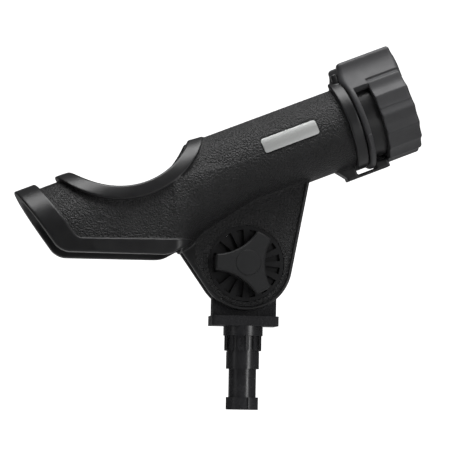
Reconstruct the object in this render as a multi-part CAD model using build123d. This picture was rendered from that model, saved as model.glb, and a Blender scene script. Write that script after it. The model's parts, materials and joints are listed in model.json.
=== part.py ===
from build123d import *
import math
import os

# Rod holder: an open-top tube and cradle on a tilting clevis, a twist-to-lock ring round the mouth,
# a clamp knob on the tilt axis and a splined post that drops into a deck socket.
#
# Frame: +Z up, +X towards the lock ring, knob on the -Y side, origin at the centre of the
# post's lower end face. Millimetres. At rest the ring's gap is at the top (open).

# ---- driving dimensions ----
pivot_z = 96.5             # tilt axis above the post's lower end
tube_tilt = 22.2           # rise of the tube axis at rest, degrees
axis_above_pivot = 63.2    # square distance from the tilt axis to the tube axis

tube_r = 27.6              # tube outside radius
bore_r = 24.5              # room for a rod butt or reel seat
wall = 3.0
slot_half = 11.0           # half the width of the top slot
collar_start = 94.2        # stations along the tube axis, from the tilt axis
collar_end = 102.2
collar_r = 31.5
ring_start = 102.8
ring_end = 140.6
ring_r = 33.7
ring_bore_r = 28.0
neck_end = 137.0
window_start = 106.4       # window round the ring that the hook rides in
window_end = 117.0

cradle_r = 49.0            # round cut where the reel sits
cradle_s = -44.4
cradle_n = 122.0           # height of the cut's centre above the tilt axis, square to the tube
cradle_band = 9.2          # width of the smooth band round the cut
hood_r = 31.7              # outside radius of the rear hood
hood_s = -92.0             # station where the flare ends; the hood is straight behind it
band_r = 35.4              # outside radius of its raised bands
chin_rise = 34.0           # slope of the rounded chin between the trough's toe and the tube, degrees
toe = (-43.5, 7.8)         # front end of the trough's lower edge, from the tilt axis

ear_r = 31.1
ear_inner = 6.0            # the two ears lie between these distances from the middle plane
ear_outer = 10.5
disc_r = 25.0
disc_face = 10.3           # outer face of the spoked disc in each ear
disc_shoulder = 8.3        # its flange seats on the ear here
pocket_floor = 8.0
hub_r = 9.6
bolt_r = 4.0
bolt_head = 5.2            # height of the bolt's hex head
hex_r = 7.4                # its radius over the corners
spokes = 16

head_half_width = 21.4
head_half_depth = 4.6
tooth_height = 1.1
teeth = 24

knob_reach = 21.0
washer_face = 11.8
knob_back = 13.0
knob_face = 21.0
cap_r = 8.3

post_r = 11.0              # journal that turns in the socket
journal_low = 26.9
journal_high = 38.0
ribs_low = 38.9
ribs_high = 48.9
foot_high = 8.3

far = 300.0                # longer than anything here, for cutting blocks

pivot = Pos(0, 0, pivot_z)
tilted = pivot * Rot(0, -tube_tilt, 0)


def polar(radius, degrees):
    return (radius * math.cos(math.radians(degrees)), radius * math.sin(math.radians(degrees)))


def side_face(points):
    """A closed outline in the side plane, as x and z."""
    return make_face(Plane.XZ * Polyline(*points, close=True))


def side_plane(x, z):
    """The side plane with its origin moved to x and z."""
    return Plane(origin=(x, 0, z), x_dir=(1, 0, 0), z_dir=(0, -1, 0))


def both_ways(face, half_width):
    """The outline spread evenly to both sides of the middle plane."""
    return extrude(face, amount=half_width, both=True)


def rod_y(radius, start, end):
    """A round bar along Y between two distances on the -Y side of the middle plane."""
    return extrude(Plane.XZ.offset(start) * Circle(radius), amount=end - start)


def tube_bar(radius, start, end):
    """A round bar on the tube axis between two stations, before tilting."""
    plane = Plane(origin=(start, 0, axis_above_pivot), x_dir=(0, 1, 0), z_dir=(1, 0, 0))
    return extrude(plane * Circle(radius), amount=end - start)


def tube_block(start, end, half_width, low, high):
    """A block along the tube, with heights given from the tube axis, before tilting."""
    block = Box(end - start, 2 * half_width, high - low)
    return Pos((start + end) / 2, 0, axis_above_pivot + (low + high) / 2) * block


# ---- holder body ----
def arch(station, radius, depth=90.0):
    """Section of the hood: a half circle on the tube axis with straight walls below it."""
    plane = Plane(origin=(station, 0, axis_above_pivot), x_dir=(0, 1, 0), z_dir=(1, 0, 0))
    outline = Circle(radius) + Pos(0, -depth / 2) * Rectangle(2 * radius, depth)
    return plane * outline


def flared_hood(front_radius, rear_radius):
    """The hood: it flares from the front of the cradle to hood_s and runs straight from there."""
    front = arch(5.0, front_radius)
    rear = arch(hood_s, rear_radius)
    flare = loft([front.faces()[0], rear.faces()[0]])
    return flare + extrude(rear, amount=-70.0)


def hood_profile():
    """Side outline of the trough, from the tilt axis: slanted rear, flat underside, raised toe."""
    rear_top = (-171.8, 67.0)
    rear_foot = (-123.7, 3.2)
    heel = (-52.8, 3.2)
    outline = side_face([rear_top, rear_foot, heel, toe, (-38.0, 12.0), (-38.0, 110.0)])
    foot = outline.vertices().sort_by(Axis.X)[1]
    return fillet(foot, 13.0)


def rounded_front(half_width, front_x, radius):
    """A tall block whose two front upright corners are rounded, to shape the trough's front."""
    block = Pos(front_x - 100.0, 0, 40.0) * Box(200.0, 2 * half_width, 160.0)
    corners = block.edges().filter_by(Axis.Z).group_by(Axis.X)[-1]
    return fillet(corners, radius)


def trough():
    hood = flared_hood(tube_r, hood_r)
    shape = pivot * both_ways(hood_profile(), 60.0)
    shape = shape & (tilted * hood)
    return shape & (pivot * rounded_front(29.4, -38.0, 12.0))


def chin():
    """Rounded underside that runs from the trough's toe up into the tube."""
    slope = math.radians(chin_rise)
    start = (toe[0] - tube_r * math.sin(slope), 0, toe[1] + tube_r * math.cos(slope))
    plane = Plane(origin=start, x_dir=(0, 1, 0), z_dir=(math.cos(slope), 0, math.sin(slope)))
    bar = extrude(plane * Circle(tube_r), amount=70.0)
    bar = pivot * (bar & Pos(0, 0, 40.0) * Box(2 * 46.0, 80.0, 160.0))
    return bar & (tilted * tube_block(-80.0, 20.0, 40.0, -60.0, -5.0))


def band_region():
    """The smooth band along the rear and lower edges of the trough, as a side outline."""
    outer = hood_profile()
    inner = side_face([(-161.3, 77.0), (-113.0, 12.4), (-30.0, 14.0), (-30.0, 110.0)])
    return outer - inner


def bands():
    """Raised smooth bands: round the cradle cut and along the rear and lower edges."""
    skin = tilted * flared_hood(tube_r + 0.7, band_r)
    edge = pivot * both_ways(band_region(), 60.0)
    edge = edge & (pivot * rounded_front(31.5, -38.0, 13.0))
    rim = both_ways(side_plane(cradle_s, cradle_n) * Circle(cradle_r + cradle_band), 60.0)
    rim = rim & tube_block(-140.0, 8.0, 60.0, -50.0, 50.0)
    return (skin & edge) + (skin & (tilted * rim))


def ear_outline():
    """Teardrop seen from the side: a round end about the tilt axis, and two tangent edges."""
    brow = (41.4, 53.0)
    low_left = polar(ear_r, 215.0)
    low_right = polar(ear_r, -10.5)
    upper = side_face([low_left, toe, (-38.0, 50.0), (30.0, 66.0), (46.0, 60.0), brow, low_right, (0, 0)])
    return upper + Plane.XZ * Circle(ear_r)


def ears():
    outline = ear_outline()
    blank = both_ways(outline, ear_outer) - both_ways(outline, ear_inner)
    seat = rod_y(disc_r + 0.05, disc_shoulder, 30.0) + rod_y(22.05, 5.0, 9.0)
    seat = seat + mirror(seat, about=Plane.XZ)
    return pivot * (blank - seat)


def hook():
    """Arm under the tube that runs forward past the ring's rear rim and turns up into its window."""
    root = 74.0
    knee = 87.4
    low = -36.4            # underside of the arm, from the tube axis
    top = -34.2
    tip_start = window_start + 0.4
    tip_end = window_end - 0.4
    tip_top = -30.2
    points = [(root, -25.4), (root + 6.0, -tube_r - 0.1), (knee, low), (tip_end, low), (tip_end, tip_top)]
    points += [(tip_start, tip_top), (tip_start, top), (knee + 7.5, top), (knee + 6.0, -29.0), (knee + 6.0, -25.4)]
    outline = side_face([(x, axis_above_pivot + z) for x, z in points])
    return tilted * both_ways(outline, 5.0)


def lug():
    """Small raised lug on the collar, beside the slot on the knob's side."""
    blank = tube_block(97.9, collar_end, 16.5, 20.0, 33.9) - tube_block(90.0, 110.0, slot_half, 15.0, 40.0)
    near_half = Pos(0, -30.0, 0) * tube_block(90.0, 110.0, 30.0, 15.0, 40.0)
    return tilted * ((blank & near_half) - tube_bar(bore_r, 90.0, 110.0))


def badge_plate(grow=0.0, depth=0.0):
    """Thin rounded plate bent to the tube's side: half height, place and length as fitted."""
    plate = Rectangle(38.7 + 2 * grow, 9.8 + 2 * grow)
    plate = fillet(plate.vertices(), 1.7 + grow)
    plane = side_plane(55.2, axis_above_pivot + 4.4)
    shell = tube_bar(tube_r + 0.35, 20.0, 90.0) - tube_bar(tube_r - 0.45 - depth, 20.0, 90.0)
    return extrude(plane * plate, amount=60.0) & shell


def holder_body():
    collar_stop = Pos(0, 30.0, 0) * tube_block(collar_start - 1.0, collar_end + 1.0, 24.0, 20.0, 40.0)
    collar = tube_bar(collar_r, collar_start, collar_end) - collar_stop
    tube = tube_bar(tube_r, -38.0, neck_end) + collar
    inner_hood = flared_hood(tube_r - wall, hood_r - wall)
    room = pivot * rounded_front(26.2, -44.0, 8.5)
    cavity = (tilted * inner_hood) & room
    bore = tilted * tube_bar(bore_r, -140.0, far)
    cradle = tilted * both_ways(side_plane(cradle_s, cradle_n) * Circle(cradle_r), 60.0)
    slot = tilted * tube_block(-60.0, far, slot_half, 0.0, 60.0)
    body = (tilted * tube) + trough() + chin() + bands() + ears() + lug()
    body = body - cavity - bore - cradle - slot
    body = body + hook()
    pocket = badge_plate(grow=0.1)
    pocket = pocket + mirror(pocket, about=Plane.XZ)
    return body - tilted * pocket


# ---- discs in the ears ----
def tooth_ring(inner, outer, base, height):
    """Radial teeth standing on the plane at distance base from the middle, towards +Y."""
    shape = None
    for index in range(teeth):
        prism = Plane.YZ * Polyline((0, -1.3), (height, -0.35), (height, 0.35), (0, 1.3), close=True)
        tooth = extrude(make_face(prism), amount=outer - inner)
        tooth = Rot(0, 360.0 / teeth * index, 0) * Pos(inner, -base, 0) * tooth
        shape = tooth if shape is None else shape + tooth
    return shape


def tooth_disc():
    """Spoked disc pressed in the near ear: sixteen pockets outside, radial teeth inside."""
    plate = rod_y(disc_r, disc_shoulder, disc_face) + rod_y(22.0, ear_inner + tooth_height, disc_shoulder)
    half_pocket = 180.0 / spokes * 0.5
    for index in range(spokes):
        middle = 360.0 / spokes * (index + 0.5)
        corners = [polar(12.0, middle - half_pocket), polar(12.0, middle + half_pocket)]
        corners += [polar(22.7, middle + half_pocket), polar(22.7, middle - half_pocket)]
        pocket = Plane.XZ.offset(pocket_floor) * make_face(Polyline(*corners, close=True))
        plate = plate - extrude(pocket, amount=10.0)
    plate = plate + tooth_ring(12.0, 20.5, ear_inner + tooth_height, tooth_height)
    return pivot * (plate - rod_y(bolt_r + 0.25, 0.0, 40.0))


def hex_tooth_disc():
    """The far ear's disc: the same, with a hexagonal pocket that stops the bolt's head turning."""
    pocket = extrude(Plane.XZ.offset(pocket_floor) * RegularPolygon(hex_r + 0.2, 6), amount=20.0)
    return mirror(tooth_disc() - pivot * pocket, about=Plane.XZ)


# ---- clamp: bolt, washer, knob ----
def pivot_bolt():
    """Hex bolt from the far disc through the head, threaded end inside the knob's insert."""
    head_end = pocket_floor + bolt_head
    head = extrude(Plane.XZ.offset(-head_end) * RegularPolygon(hex_r, 6), amount=bolt_head)
    shank = rod_y(bolt_r, -pocket_floor, knob_face - 2.0)
    tip = shank.edges().group_by(Axis.Y)[0]
    return pivot * (head + chamfer(tip, 0.6))


def knob_outline(reach, width, waist):
    """Three lobes with hollow sides, as a face square to the tilt axis."""
    edges = []
    for index in range(3):
        angle = 60.0 + 120.0 * index
        spread = math.degrees(math.atan2(width / 2, reach))
        corner = math.hypot(reach, width / 2)
        start = polar(corner, angle - spread)
        end = polar(corner, angle + spread)
        following = polar(corner, angle + 120.0 - spread)
        edges.append(ThreePointArc(start, polar(reach + 0.4, angle), end))
        edges.append(ThreePointArc(end, polar(waist, angle + 60.0), following))
    return make_face(edges)


def knob_body():
    lobes = knob_outline(knob_reach, 10.4, 11.2)
    lobes = fillet(lobes.vertices(), 1.3)
    body = extrude(Plane.XZ.offset(knob_back) * lobes, amount=knob_face - knob_back)
    body = chamfer(body.faces().sort_by(Axis.Y)[0].edges(), 1.0)
    boss = rod_y(9.0, washer_face + 0.3, knob_back)
    body = body + boss - rod_y(6.0, 10.0, knob_face - 1.2) - rod_y(cap_r + 0.05, knob_face - 1.2, 40.0)
    return pivot * body


def knob_insert():
    """Threaded brass sleeve moulded into the knob."""
    sleeve = rod_y(6.0, washer_face + 0.3, knob_face - 1.2) - rod_y(bolt_r + 0.08, 10.0, 40.0)
    return pivot * sleeve


def knob_cap():
    cap = rod_y(cap_r, knob_face - 1.2, knob_face + 0.3)
    rim = cap.faces().sort_by(Axis.Y)[0].edges()
    return pivot * fillet(rim, 0.5)


def knob_washer():
    washer = rod_y(hub_r, disc_face, washer_face) - rod_y(bolt_r + 0.3, 5.0, 40.0)
    return pivot * washer


# ---- lock ring ----
def grip_outline(radius, flutes):
    """Round outline with shallow flats between narrow ridges, all round but for the top."""
    outline = Circle(radius)
    for angle in flutes:
        hollow = Pos(*polar(radius + 58.6, angle)) * Circle(59.5)
        outline = outline - hollow
    return outline


def lock_ring():
    """C-shaped ring: thumb lobes beside the gap, a window for the hook, a fluted grip in front."""
    plane = Plane(origin=(ring_start, 0, axis_above_pivot), x_dir=(0, 1, 0), z_dir=(1, 0, 0))
    flutes = [21.0 * index - 76.5 for index in range(16)]
    flutes = [angle for angle in flutes if not 45 < angle < 135]
    grip = extrude(plane.offset(window_end - ring_start) * grip_outline(ring_r, flutes), amount=ring_end - window_end)
    rear = tube_bar(ring_r, ring_start, window_end)
    lobes = tube_block(ring_start, ring_end - 0.5, 18.3, 15.0, 39.5)
    lobes = fillet(lobes.edges().filter_by(Axis.X).group_by(Axis.Z)[-1], 2.5)
    ring = grip + rear + lobes
    ring = ring - tube_bar(ring_bore_r, ring_start - 5.0, neck_end + 0.5) - tube_bar(bore_r + 0.4, 100.0, far)
    ring = ring - tube_block(90.0, far, slot_half + 0.6, 0.0, 60.0)
    window = tube_bar(60.0, window_start, window_end)
    keep = Plane(origin=(100.0, 0, axis_above_pivot), x_dir=(0, 1, 0), z_dir=(1, 0, 0))
    sector = [(0, 0)] + [polar(80.0, angle) for angle in (145, 180, 215, 250, 285)]
    sector = extrude(keep * make_face(Polyline(*sector, close=True)), amount=30.0)
    return tilted * (ring - (window & sector))


# ---- post ----
def post_ribs(radius, count, low, high):
    """Narrow upright ribs round the post, with rounded lower ends."""
    shape = None
    for index in range(count):
        rib = Pos(radius - 2.0, 0, (low + high) / 2) * Box(4.0, 2.1, high - low)
        rib = fillet(rib.edges().filter_by(Axis.X).group_by(Axis.Z)[0], 1.0)
        rib = Rot(0, 0, 360.0 / count * (index + 0.75)) * rib
        shape = rib if shape is None else shape + rib
    return shape


def upright(radius, low, high):
    return Pos(0, 0, low) * Cylinder(radius, high - low, align=(Align.CENTER, Align.CENTER, Align.MIN))


def mount_post():
    """Clevis head, skirt, collar, splines, journal, stem and foot, in one moulding."""
    head_low = pivot_z - 34.7
    skirt_low = pivot_z - 41.2
    head = pivot * both_ways(Plane.XZ * Circle(head_half_width), head_half_depth)
    block = Pos(0, 0, (head_low + pivot_z) / 2) * Box(2 * head_half_width, 2 * head_half_depth, 34.7)
    skirt = Pos(0, 0, (head_low + skirt_low) / 2) * Box(44.4, 25.6, head_low - skirt_low)
    skirt = fillet(skirt.edges().filter_by(Axis.Z), 2.0)
    shape = head + block + skirt
    shape = shape + upright(13.15, ribs_high, skirt_low) + upright(post_r, journal_low, journal_high)
    shape = shape + upright(post_r - 0.2, journal_high, ribs_low) + upright(post_r + 0.2, ribs_low, ribs_high)
    shape = shape + post_ribs(post_r + 1.35, 14, ribs_low, ribs_high)
    shape = shape + upright(9.15, foot_high, journal_low) + upright(post_r - 0.2, 0.0, foot_high)
    for index in range(4):
        notch = Rot(0, 0, 90.0 * index) * Pos(0, -13.15, 0) * Box(5.8, 8.0, 2 * foot_high)
        shape = shape - notch
    near_teeth = tooth_ring(12.0, 20.5, head_half_depth, -tooth_height)
    for side in (near_teeth, mirror(near_teeth, about=Plane.XZ)):
        shape = shape + pivot * side
    return shape - pivot * both_ways(Plane.XZ * Circle(bolt_r + 0.05), 40.0)


# ---- write one file per piece ----
os.makedirs("parts", exist_ok=True)

near_badge = tilted * badge_plate()

pieces = {
    "mount_post": mount_post(),
    "holder_body": holder_body(),
    "tooth_disc_near": tooth_disc(),
    "tooth_disc_far": hex_tooth_disc(),
    "badge_near": near_badge,
    "badge_far": mirror(near_badge, about=Plane.XZ),
    "pivot_bolt": pivot_bolt(),
    "knob_washer": knob_washer(),
    "knob_body": knob_body(),
    "knob_insert": knob_insert(),
    "knob_cap": knob_cap(),
    "lock_ring": lock_ring(),
}

for name, piece in pieces.items():
    piece.label = name
    export_step(piece, f"parts/{name}.step")
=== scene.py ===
import json
import math

import bpy
import numpy as np
from mathutils import Matrix, Vector


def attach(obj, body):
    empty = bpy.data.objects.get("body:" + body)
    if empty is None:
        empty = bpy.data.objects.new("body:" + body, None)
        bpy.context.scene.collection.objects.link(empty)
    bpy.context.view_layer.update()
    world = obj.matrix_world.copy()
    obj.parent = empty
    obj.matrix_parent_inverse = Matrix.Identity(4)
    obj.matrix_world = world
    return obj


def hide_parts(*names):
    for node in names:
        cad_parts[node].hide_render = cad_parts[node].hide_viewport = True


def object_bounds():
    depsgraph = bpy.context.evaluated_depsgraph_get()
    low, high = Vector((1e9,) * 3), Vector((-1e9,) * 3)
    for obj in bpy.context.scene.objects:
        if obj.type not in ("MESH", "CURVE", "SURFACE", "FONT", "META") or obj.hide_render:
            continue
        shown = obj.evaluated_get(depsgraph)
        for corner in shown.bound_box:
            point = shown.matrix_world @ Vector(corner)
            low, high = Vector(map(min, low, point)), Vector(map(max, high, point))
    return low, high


# Rod holder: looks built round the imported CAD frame. The holder body and the lock ring are
# mouldings with soft blends, so each is shaped as a distance field in millimetres from the tilt
# axis and meshed here. The other pieces are the CAD nodes with their own finishes.

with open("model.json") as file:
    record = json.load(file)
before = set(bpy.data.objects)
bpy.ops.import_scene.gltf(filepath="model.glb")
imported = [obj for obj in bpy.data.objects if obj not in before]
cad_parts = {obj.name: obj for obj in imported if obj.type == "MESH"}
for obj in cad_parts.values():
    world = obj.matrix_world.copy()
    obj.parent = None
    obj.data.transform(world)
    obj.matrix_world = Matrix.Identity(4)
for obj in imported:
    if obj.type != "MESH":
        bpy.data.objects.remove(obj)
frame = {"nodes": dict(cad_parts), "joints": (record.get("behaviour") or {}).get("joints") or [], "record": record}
size_before = [list(corner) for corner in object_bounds()]

# ---- sizes: the tilt axis and the tube's axis read from the frame, the rest listed in millimetres ----
MM = 0.001
joints = {joint["name"]: joint for joint in frame["joints"]}
materials = {row["slot"]: row for row in frame["record"]["materials"]}
pivot = Vector(joints["tilt"]["pos_m"])
ring_axis = Vector(joints["ring_turn"]["axis"]).normalized()
ring_point = (Vector(joints["ring_turn"]["pos_m"]) - pivot) / MM
cos_tilt, sin_tilt = ring_axis.x, ring_axis.z
axis_height = -ring_point.x * sin_tilt + ring_point.z * cos_tilt   # tube axis above the tilt axis

tube_r = 27.6
bore_r = 24.5
wall = 3.0
slot_half = 11.0
neck_end = 137.0
collar_start, collar_end, collar_r = 94.2, 102.2, 31.5
cradle_s, cradle_n, cradle_r, cradle_band = -44.4, 122.0, 49.0, 9.2
hood_front, hood_rear = 5.0, -92.0
hood_r, band_r = 31.7, 35.4
front_x, front_round = -38.0, 12.0
chin_rise = math.radians(34.0)
toe = (-43.5, 7.8)
heel = (-52.8, 3.2)
brow = (41.4, 53.0)
rear_line = ((-171.8, 67.0), (-123.7, 3.2))
rear_band_line = ((-161.3, 77.0), (-113.0, 12.4))
low_band_line = ((-113.0, 12.4), (-30.0, 14.0))
ear_r, ear_inner, ear_outer = 31.1, 6.0, 10.5
disc_r, disc_shoulder, disc_bore = 25.05, 8.3, 22.05
window_start, window_end = 106.4, 117.0
ring_start, ring_end, ring_r, ring_bore_r = 102.8, 140.6, 33.7, 28.0
ridge_start, ridge_step, flute_depth = -66.0, 21.0, 1.9
badge_s, badge_h, badge_length, badge_width, badge_floor = 55.2, 4.4, 40.1, 11.2, 27.1
badge_corner = 1.8
band_raise = 0.7           # how far the smooth bands stand above the grained skin on the straight walls
lug_start, lug_width, lug_top = 97.9, 16.5, 33.9
far_collar_top = 20.0      # the collar stops at this height on the far side
arm_low, arm_top = -36.4, -34.2          # the hook's arm, from the tube axis
arm_start, arm_half_width = 85.6, 5.0
hook_tip_top = -30.2
hook_strut = ((80.6, -27.6), (87.6, -36.4))   # the arm's sloping root, along the tube and height
lobe_half_width, lobe_top, lobe_low = 18.3, 39.5, 12.0
lobe_forward, lobe_back = 1.2, 1.0       # the lobes lean past the ring's front and start late
window_turn = (145.0, 285.0)             # the ring's window, counted past the gap on the knob side
tab_turn = (203.0, 222.0)                # the detent tab on its rear rim
post_satin_above = 0.0535   # the skirt and head are satin, the splined post below is glossier, m
pitch = 0.65               # spacing of the distance field, mm


# ---- distance-field helpers (negative inside) ----
def both_round(a, b, radius):
    """Where a and b overlap, with the shared edge rounded."""
    corner = np.hypot(np.maximum(a + radius, 0), np.maximum(b + radius, 0))
    return np.minimum(np.maximum(a, b), -radius) + corner


def either_round(a, b, radius):
    """a or b, with a fillet of that radius in the corner between them."""
    corner = np.hypot(np.maximum(radius - a, 0), np.maximum(radius - b, 0))
    return np.maximum(np.minimum(a, b), radius) - corner


def cut_round(a, b, radius):
    """a with b cut out, the cut's edge rounded."""
    return both_round(a, -b, radius)


def right_of(x, z, start, end):
    """Distance to the right-hand side of the line from start to end, in the side view."""
    dx, dz = end[0] - start[0], end[1] - start[1]
    return ((x - start[0]) * dz - (z - start[1]) * dx) / math.hypot(dx, dz)


def polar(radius, degrees):
    return (radius * math.cos(math.radians(degrees)), radius * math.sin(math.radians(degrees)))


def between(value, low, high):
    return np.maximum(low - value, value - high)


def tangent_point(point, radius, side):
    """Where the line from point touches the circle about the tilt axis; side is +1 or -1."""
    distance = math.hypot(*point)
    angle = math.degrees(math.atan2(point[1], point[0]) + side * math.acos(radius / distance))
    return polar(radius, angle)


class Field:
    """The holder body's distance field and the places where its skin is smooth."""

    def __init__(self, x, y, z):
        self.x, self.y, self.z = x, np.abs(y), z
        self.near = y <= 0                             # the knob's side
        self.s = x * cos_tilt + z * sin_tilt
        self.n = -x * sin_tilt + z * cos_tilt
        self.h = self.n - axis_height
        self.r = np.hypot(self.y, self.h)

    def hood(self, front, rear):
        part = np.clip((hood_front - self.s) / (hood_front - hood_rear), 0, 1)
        width = front + (rear - front) * part
        return np.where(self.h > 0, self.r, self.y) - width

    def profile(self):
        x, z = self.x, self.z
        rear = right_of(x, z, rear_line[0], rear_line[1])
        low = heel[1] - z
        shape = both_round(rear, low, 5.0)
        shape = both_round(shape, right_of(x, z, heel, toe), 2.0)
        chin = right_of(x, z, toe, (toe[0] + math.cos(chin_rise), toe[1] + math.sin(chin_rise)))
        return both_round(shape, chin, 2.0)

    def inner_profile(self):
        rear = right_of(self.x, self.z, rear_band_line[0], rear_band_line[1])
        low = right_of(self.x, self.z, low_band_line[0], low_band_line[1])
        return both_round(rear, low, 2.5)

    def cradle(self):
        return np.hypot(self.s - cradle_s, self.n - cradle_n)

    def chin(self):
        along = (math.cos(chin_rise), math.sin(chin_rise))
        off = right_of(self.x, self.z, toe, (toe[0] + along[0], toe[1] + along[1])) + tube_r
        reach = np.maximum(between(self.x, -46.0, 20.0), self.h)
        return np.maximum(np.hypot(off, self.y) - tube_r, reach)

    def ear_side(self):
        low_left = tangent_point(toe, ear_r, 1)
        low_right = tangent_point(brow, ear_r, -1)
        x, z = self.x, self.z
        web = np.maximum(right_of(x, z, low_left, toe) * -1, right_of(x, z, low_right, brow))
        web = np.maximum(web, right_of(x, z, low_right, low_left) * -1)
        web = np.maximum(web, right_of(x, z, toe, brow) * -1 - 34.0)
        return np.minimum(web, np.hypot(x, z) - ear_r)

    def ears(self):
        side = self.ear_side()
        plate = both_round(side, self.y - ear_outer, 1.4)
        plate = np.maximum(plate, ear_inner - self.y)
        groove = np.maximum(between(side, -3.6, -2.4), ear_outer - 0.9 - self.y)
        groove = np.maximum(groove, -16.0 - self.x)
        return np.maximum(plate, -groove)

    def hook(self):
        arm = np.maximum(between(self.h, arm_low, arm_top), between(self.s, arm_start, window_end - 0.4))
        (root_s, root_h), (knee_s, knee_h) = hook_strut
        slope = (root_h - knee_h) / (knee_s - root_s)
        strut = np.maximum(arm_low - self.h, root_h - self.h - (self.s - root_s) * slope)
        strut = np.maximum(np.maximum(strut, self.h + 25.6), self.s - 93.4)
        tip = np.maximum(
            between(self.h, arm_low, hook_tip_top),
            between(self.s, window_start + 0.4, window_end - 0.4),
        )
        shape = np.minimum(np.minimum(arm, strut), tip)
        return both_round(shape, self.y - arm_half_width, 0.8)

    def body(self):
        tube = np.maximum(self.r - tube_r, between(self.s, -38.0, neck_end))
        walls = both_round(self.hood(tube_r, hood_r), self.x - front_x, front_round)
        trough = both_round(walls, self.profile(), 1.2)
        blend = 14.0 * np.clip(-self.h / 24.0, 0.01, 1)
        shape = either_round(tube, trough, blend)
        shape = either_round(shape, self.chin(), 1.0 + 8.0 * np.clip((-14.0 - self.x) / 18.0, 0, 1))
        skin = both_round(self.hood(tube_r + band_raise, band_r), self.x - front_x - 1.5, front_round + 1.0)
        edge = np.maximum(self.profile(), -self.inner_profile())
        shape = np.minimum(shape, both_round(skin, edge, 1.0))
        rim = np.maximum(self.cradle() - cradle_r - cradle_band, self.s - 8.0)
        rim = np.maximum(rim, -self.h - 50.0)
        shape = np.minimum(shape, both_round(self.hood(tube_r + band_raise, band_r), rim, 1.0))
        shape = either_round(shape, self.ears(), 1.2)
        collar = both_round(self.r - collar_r, between(self.s, collar_start, collar_end), 1.0)
        collar = np.where(self.near, collar, both_round(collar, self.h - far_collar_top, 1.0))
        shape = either_round(shape, collar, 0.7)
        lug = both_round(between(self.y, slot_half, lug_width), between(self.s, lug_start, collar_end), 1.6)
        lug = np.where(self.near, both_round(lug, between(self.h, 20.0, lug_top), 1.4), 100.0)
        shape = np.minimum(shape, lug)
        room = both_round(self.hood(tube_r - wall, hood_r - wall), self.y - 26.2, 2.0)
        room = both_round(room, self.x + 44.0, 8.5)
        shape = cut_round(shape, room, 0.6)
        shape = cut_round(shape, np.maximum(self.r - bore_r, -140.0 - self.s), 0.5)
        shape = cut_round(shape, self.cradle() - cradle_r, 0.9)
        slot = np.maximum(np.maximum(self.y - slot_half, -self.h), -60.0 - self.s)
        shape = cut_round(shape, slot, 0.7)
        seat = np.maximum(np.hypot(self.x, self.z) - disc_r, disc_shoulder - self.y)
        bore = np.maximum(np.hypot(self.x, self.z) - disc_bore, between(self.y, 5.0, 9.0))
        seat = np.minimum(seat, bore)
        shape = np.maximum(shape, -seat)
        along = np.abs(self.s - badge_s) - badge_length / 2
        badge = both_round(along, np.abs(self.h - badge_h) - badge_width / 2, badge_corner)
        badge = np.maximum(badge, badge_floor - self.r)
        return np.minimum(np.maximum(shape, -badge), self.hook())

    def smooth_skin(self):
        """True where the skin has no pebble grain: bands, collar, hook, ear edges and insides."""
        inside = (self.hood(tube_r - wall, hood_r - wall) < 1.2) & (self.x < -42.5)
        inside = inside | (self.r < bore_r + 1.0)
        on_edge = (self.inner_profile() > -0.2) & (self.x < front_x + 4.0)
        on_rim = (self.cradle() < cradle_r + cradle_band + 0.2) & (self.s < 8.2)
        on_collar = (self.s > collar_start - 0.3) | ((self.r > collar_r - 0.5) & (self.s > 60.0))
        on_ear_edge = (self.ear_side() > -2.6) & (self.y < ear_outer + 0.3) & (self.r > tube_r + 2.0)
        return inside | on_edge | on_rim | on_collar | on_ear_edge


def net_surface(field, origin, step):
    """Turns the field into a mesh: a point in each crossed cell, a face for each crossed edge."""
    inside = field < 0
    nx, ny, nz = field.shape
    corners = [(i, j, k) for i in (0, 1) for j in (0, 1) for k in (0, 1)]
    count = np.zeros((nx - 1, ny - 1, nz - 1), np.uint8)
    for i, j, k in corners:
        count += inside[i:nx - 1 + i, j:ny - 1 + j, k:nz - 1 + k]
    crossed = (count > 0) & (count < 8)
    cells = np.argwhere(crossed)
    number = np.full(crossed.shape, -1, np.int64)
    number[crossed] = np.arange(len(cells))
    total = np.zeros((len(cells), 3))
    hits = np.zeros(len(cells))
    for axis in range(3):
        for start in corners:
            if start[axis]:
                continue
            end = list(start)
            end[axis] = 1
            a = field[tuple((cells + start).T)]
            b = field[tuple((cells + end).T)]
            cross = (a < 0) != (b < 0)
            share = a[cross] / (a[cross] - b[cross])
            total[cross] += np.array(start)
            total[cross, axis] += share
            hits[cross] += 1
    points = (cells + total / hits[:, None]) * step + origin
    faces = []
    for axis in range(3):
        u, v = (axis + 1) % 3, (axis + 2) % 3
        low = [slice(1, -1)] * 3
        high = [slice(1, -1)] * 3
        low[axis], high[axis] = slice(0, -1), slice(1, None)
        a, b = inside[tuple(low)], inside[tuple(high)]
        edges = np.argwhere(a != b)
        outward = a[tuple(edges.T)]
        for other in (u, v):
            edges[:, other] += 1
        ring = []
        for du, dv in ((1, 1), (0, 1), (0, 0), (1, 0)):
            cell = edges.copy()
            cell[:, u] -= du
            cell[:, v] -= dv
            ring.append(number[tuple(cell.T)])
        quads = np.stack(ring, axis=1)
        quads[~outward] = quads[~outward][:, ::-1]
        faces.append(quads)
    return points, np.concatenate(faces)


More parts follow.
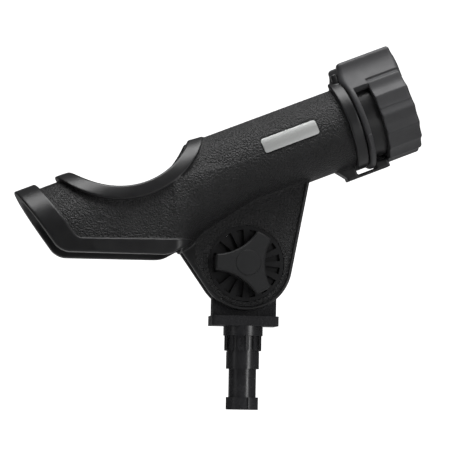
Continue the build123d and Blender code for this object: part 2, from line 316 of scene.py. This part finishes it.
class RingField:
    """The lock ring's distance field, along the tube axis (s), across (y) and above it (h)."""

    def __init__(self, s, y, h):
        self.s, self.y, self.h = s, y, h
        self.r = np.hypot(y, h)
        self.angle = np.degrees(np.arctan2(h, y))      # 90 at the gap, 180 on the knob side

    def grip(self):
        off = np.mod(self.angle - ridge_start + ridge_step / 2, ridge_step) - ridge_step / 2
        sunk = flute_depth * (np.sqrt(np.sin(np.radians(180.0 * off / ridge_step)) ** 2 + 0.02) - 0.1)
        fluted = (np.abs(self.angle - 90.0) > 47.0) & (self.s > window_end)
        return self.r - ring_r + np.where(fluted, sunk, 0.0)

    def turned(self, low, high):
        """True between two angles counted past the gap on the knob side."""
        angle = np.where(self.angle < 0, self.angle + 360.0, self.angle)
        return (angle > low) & (angle < high)

    def body(self):
        ring = both_round(self.grip(), between(self.s, ring_start, ring_end), 2.2)
        lobes = both_round(np.abs(self.y) - lobe_half_width, self.h - lobe_top, 2.6)
        length = between(self.s, ring_start + lobe_back, ring_end + lobe_forward)
        lobes = both_round(np.maximum(lobes, lobe_low - self.h), length, 2.2)
        ring = either_round(ring, lobes, 7.0)
        tab = np.maximum(self.r - ring_r - 0.8, between(self.s, ring_start + 0.4, window_start - 0.4))
        ring = np.where(self.turned(*tab_turn), np.minimum(ring, tab), ring)
        hole = np.where(self.s < neck_end + 0.5, self.r - ring_bore_r, self.r - bore_r - 0.4)
        ring = cut_round(ring, hole, 0.6)
        ring = cut_round(ring, np.maximum(np.abs(self.y) - slot_half - 0.6, -self.h), 0.8)
        window = between(self.s, window_start, window_end)
        return np.where(self.turned(*window_turn), np.maximum(ring, -window), ring)


def mesh_from(name, points, quads, slots=None):
    """A smooth-shaded mesh from points in metres and four-cornered faces."""
    mesh = bpy.data.meshes.new(name)
    mesh.vertices.add(len(points))
    mesh.vertices.foreach_set("co", points.ravel())
    mesh.loops.add(quads.size)
    mesh.loops.foreach_set("vertex_index", quads.ravel())
    mesh.polygons.add(len(quads))
    mesh.polygons.foreach_set("loop_start", np.arange(0, quads.size, 4))
    mesh.polygons.foreach_set("use_smooth", np.ones(len(quads), bool))
    if slots is not None:
        mesh.polygons.foreach_set("material_index", slots.astype(np.int32))
    mesh.update(calc_edges=True)
    return mesh


def ring_mesh():
    step = 0.55
    s = np.arange(ring_start - 1.5, ring_end + 2.0, step)
    y = np.arange(-36.0, 36.0, step)
    h = np.arange(-36.0, 42.0, step)
    field = RingField(*np.meshgrid(s, y, h, indexing="ij", sparse=True)).body()
    points, quads = net_surface(field, np.array([s[0], y[0], h[0]]), step)
    n = points[:, 2] + axis_height
    x = points[:, 0] * cos_tilt - n * sin_tilt
    z = points[:, 0] * sin_tilt + n * cos_tilt
    points = np.stack([x, points[:, 1], z], axis=1) * MM + np.array(pivot)
    return mesh_from("ring_moulding", points, quads)


def holder_mesh():
    x = np.arange(-158.0, 118.0, pitch)
    y = np.arange(0.0, 37.5, pitch)
    y = np.concatenate([-y[:0:-1], y])
    z = np.arange(-34.0, 139.0, pitch)
    grid = np.meshgrid(x, y, z, indexing="ij", sparse=True)
    points, quads = net_surface(Field(*grid).body(), np.array([x[0], y[0], z[0]]), pitch)
    middles = points[quads].mean(axis=1)
    smooth = Field(middles[:, 0], middles[:, 1], middles[:, 2]).smooth_skin()
    points = points * MM + np.array(pivot)
    return mesh_from("holder_moulding", points, quads, smooth)


# ---- finishes ----
def new_material(name):
    material = bpy.data.materials.new(name)
    material.use_nodes = True
    nodes = material.node_tree.nodes
    return material, nodes, material.node_tree.links, nodes["Principled BSDF"]


def noise(nodes, links, scale, detail=3.0):
    place = nodes.new("ShaderNodeTexCoord")
    texture = nodes.new("ShaderNodeTexNoise")
    texture.inputs["Scale"].default_value = scale
    texture.inputs["Detail"].default_value = detail
    links.new(place.outputs["Object"], texture.inputs["Vector"])
    return texture


def spread(nodes, links, texture, low, high, start=0.3, end=0.7):
    """Maps the texture's middle range on to low to high."""
    ramp = nodes.new("ShaderNodeMapRange")
    ramp.inputs["From Min"].default_value = start
    ramp.inputs["From Max"].default_value = end
    ramp.inputs["To Min"].default_value = low
    ramp.inputs["To Max"].default_value = high
    links.new(texture.outputs[0], ramp.inputs["Value"])
    return ramp


def tinted(nodes, links, base, texture, amount):
    """Base colour that drifts a little lighter and darker with the texture."""
    ramp = nodes.new("ShaderNodeValToRGB")
    ramp.color_ramp.elements[0].position = 0.3
    ramp.color_ramp.elements[1].position = 0.7
    ramp.color_ramp.elements[0].color = [c * (1 - amount) for c in base] + [1]
    ramp.color_ramp.elements[1].color = [c * (1 + amount) for c in base] + [1]
    links.new(texture.outputs[0], ramp.inputs["Fac"])
    return ramp


def plastic(name, slot, roughness, grain_scale=0.0, grain_depth=0.0, speck=0.06, specular=0.25,
            lift=1.0):
    """Moulded plastic: slow colour drift, uneven sheen and, where it is given, a pebble grain.
    The record's base colour is made lighter or darker by lift."""
    material, nodes, links, surface = new_material(name)
    base = [lift * c for c in materials[slot]["base_color"]]
    drift = noise(nodes, links, 55.0)
    links.new(tinted(nodes, links, base, drift, speck).outputs["Color"], surface.inputs["Base Color"])
    sheen = noise(nodes, links, 140.0, 6.0)
    gloss = spread(nodes, links, sheen, roughness - 0.04, roughness + 0.06)
    links.new(gloss.outputs["Result"], surface.inputs["Roughness"])
    surface.inputs["Specular IOR Level"].default_value = specular
    fine = noise(nodes, links, grain_scale if grain_scale else 2600.0, 2.0)
    bump = nodes.new("ShaderNodeBump")
    bump.inputs["Strength"].default_value = 1.0 if grain_scale else 0.12
    bump.inputs["Distance"].default_value = grain_depth if grain_scale else 0.00004
    links.new(fine.outputs[0], bump.inputs["Height"])
    links.new(bump.outputs["Normal"], surface.inputs["Normal"])
    return material


def metal(name, slot, roughness, stretch):
    """Brushed or machined metal, with fine lines along one direction."""
    material, nodes, links, surface = new_material(name)
    base = materials[slot]["base_color"]
    place = nodes.new("ShaderNodeTexCoord")
    squeeze = nodes.new("ShaderNodeMapping")
    squeeze.inputs["Scale"].default_value = stretch
    lines = nodes.new("ShaderNodeTexNoise")
    lines.inputs["Scale"].default_value = 900.0
    lines.inputs["Detail"].default_value = 4.0
    links.new(place.outputs["Object"], squeeze.inputs["Vector"])
    links.new(squeeze.outputs["Vector"], lines.inputs["Vector"])
    links.new(tinted(nodes, links, base, lines, 0.08).outputs["Color"], surface.inputs["Base Color"])
    gloss = spread(nodes, links, lines, roughness - 0.06, roughness + 0.08)
    links.new(gloss.outputs["Result"], surface.inputs["Roughness"])
    surface.inputs["Metallic"].default_value = 1.0
    bump = nodes.new("ShaderNodeBump")
    bump.inputs["Strength"].default_value = 0.2
    bump.inputs["Distance"].default_value = 0.00003
    links.new(lines.outputs[0], bump.inputs["Height"])
    links.new(bump.outputs["Normal"], surface.inputs["Normal"])
    return material


grained = plastic("body_grained", "body_plastic", 0.44, 850.0, 0.0015, speck=0.2, lift=0.75)
satin = plastic("body_satin", "body_plastic", 0.34, lift=0.85)
disc_black = plastic("disc_satin", "disc_plastic", 0.45, specular=0.15, lift=0.8)
ring_black = plastic("ring_satin", "ring_plastic", 0.5, specular=0.22, lift=1.5)
knob_grey = plastic("knob_matt", "knob_plastic", 0.5, 3200.0, 0.00006, specular=0.2, lift=0.7)
post_black = plastic("post_gloss", "post_plastic", 0.24, specular=0.42, lift=1.8)
post_satin = plastic("post_satin", "post_plastic", 0.48, 900.0, 0.0004, specular=0.12, lift=1.7)
badge_silver = metal("badge_brushed", "badge_metal", 0.36, (1.0, 1.0, 12.0))
stainless = metal("stainless", "steel", 0.3, (8.0, 1.0, 1.0))
brass = metal("turned_brass", "brass", 0.3, (1.0, 10.0, 1.0))


# ---- pieces ----
def dress(node, material, round_mm=0.0):
    """A CAD node with its finish and, where it has crisp moulded edges, a small round on them."""
    piece = frame["nodes"][node]
    piece.data.materials.clear()
    piece.data.materials.append(material)
    if round_mm:
        weld = piece.modifiers.new("weld", "WELD")
        weld.merge_threshold = 0.00001
        soften = piece.modifiers.new("edge_round", "BEVEL")
        soften.width = round_mm * MM
        soften.segments = 2
        soften.limit_method = "ANGLE"
        soften.angle_limit = math.radians(32.0)
        soften.harden_normals = True
    return piece


body = bpy.data.objects.new("holder_moulding", holder_mesh())
bpy.context.scene.collection.objects.link(body)
body.data.materials.append(grained)
body.data.materials.append(satin)
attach(body, "holder")
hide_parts("holder_body")

ring = bpy.data.objects.new("ring_moulding", ring_mesh())
bpy.context.scene.collection.objects.link(ring)
ring.data.materials.append(ring_black)
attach(ring, "ring")
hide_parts("lock_ring")

post = dress("mount_post", post_black)
post.data.materials.append(post_satin)
for face in post.data.polygons:
    if face.center.z > post_satin_above:
        face.material_index = 1
dress("tooth_disc_near", disc_black)
dress("tooth_disc_far", disc_black)
dress("knob_body", knob_grey, 0.5)
dress("knob_cap", knob_grey)
dress("knob_insert", brass)
dress("knob_washer", stainless)
dress("pivot_bolt", stainless)
dress("badge_near", badge_silver)
dress("badge_far", badge_silver)


# ---- studio ----
def area_light(name, place, target, width, height, power):
    light = bpy.data.lights.new(name, "AREA")
    light.shape = "RECTANGLE"
    light.size, light.size_y = width, height
    light.energy = power
    holder = bpy.data.objects.new(name, light)
    holder.location = place
    holder.rotation_euler = (Vector(target) - Vector(place)).to_track_quat("-Z", "Y").to_euler()
    bpy.context.scene.collection.objects.link(holder)
    return holder


def white_plane(name, corners, glow):
    mesh = bpy.data.meshes.new(name)
    mesh.from_pydata(corners, [], [(0, 1, 2, 3)])
    plane = bpy.data.objects.new(name, mesh)
    bpy.context.scene.collection.objects.link(plane)
    material, nodes, links, surface = new_material(name)
    surface.inputs["Base Color"].default_value = (0.6, 0.6, 0.6, 1)
    surface.inputs["Roughness"].default_value = 0.9
    surface.inputs["Emission Color"].default_value = (1, 1, 1, 1)
    surface.inputs["Emission Strength"].default_value = glow
    mesh.materials.append(material)
    return plane


world = bpy.data.worlds.new("studio")
world.use_nodes = True
world.node_tree.nodes["Background"].inputs["Color"].default_value = (1, 1, 1, 1)
world.node_tree.nodes["Background"].inputs["Strength"].default_value = 0.045
bpy.context.scene.world = world
bpy.context.scene.view_settings.view_transform = "Standard"

floor_z = size_before[0][2] - 0.12     # well under the post, which sits in a socket
backdrop_y, backdrop_top = 2.9, 0.9
white_plane("floor", [(-3, -3, floor_z), (3, -3, floor_z), (3, 3, floor_z), (-3, 3, floor_z)], 0.0)
# Only the part of the backdrop that the camera sees is bright, so edges seen side-on stay dark.
for name, left, end, glow in (("backdrop", -0.15, 0.88, 1.1), ("backdrop_left", -3, -0.15, 0.1)):
    low_edge = [(left, backdrop_y, floor_z), (end, backdrop_y, floor_z)]
    high_edge = [(end, backdrop_y, backdrop_top), (left, backdrop_y, backdrop_top)]
    white_plane(name, low_edge + high_edge, glow)

area_light("top_softbox", (-0.05, -0.2, 1.1), (0, 0, 0.15), 1.1, 0.6, 22.0)
area_light("right_softbox", (0.70, -0.97, 0.20), (0.0, 0, 0.12), 0.3, 1.1, 7.5)
area_light("left_softbox", (-1.1, -0.45, 0.35), (0, 0, 0.14), 0.3, 0.6, 0.6)

# ---- camera ----
azimuth, elevation, roll = math.radians(-7.2), math.radians(-4.9), math.radians(1.0)
distance = 1.3333
shift_right, shift_down = 0.01273, 0.02627     # the tilt axis sits this far from the picture's middle
level = math.cos(elevation)
ahead = Vector((-math.sin(azimuth) * level, math.cos(azimuth) * level, -math.sin(elevation)))
across = Vector((math.cos(azimuth), math.sin(azimuth), 0))
above = across.cross(ahead)
right = across * math.cos(roll) + above * math.sin(roll)
upward = above * math.cos(roll) - across * math.sin(roll)
eye = pivot - ahead * distance - right * shift_right + upward * shift_down
lens = bpy.data.cameras.new("camera")
lens.sensor_width = 36.0
lens.lens = 160.0
lens.clip_end = 50.0
camera = bpy.data.objects.new("camera", lens)
camera.matrix_world = Matrix.Translation(eye) @ Matrix((right, upward, -ahead)).transposed().to_4x4()
bpy.context.scene.collection.objects.link(camera)
bpy.context.scene.camera = camera
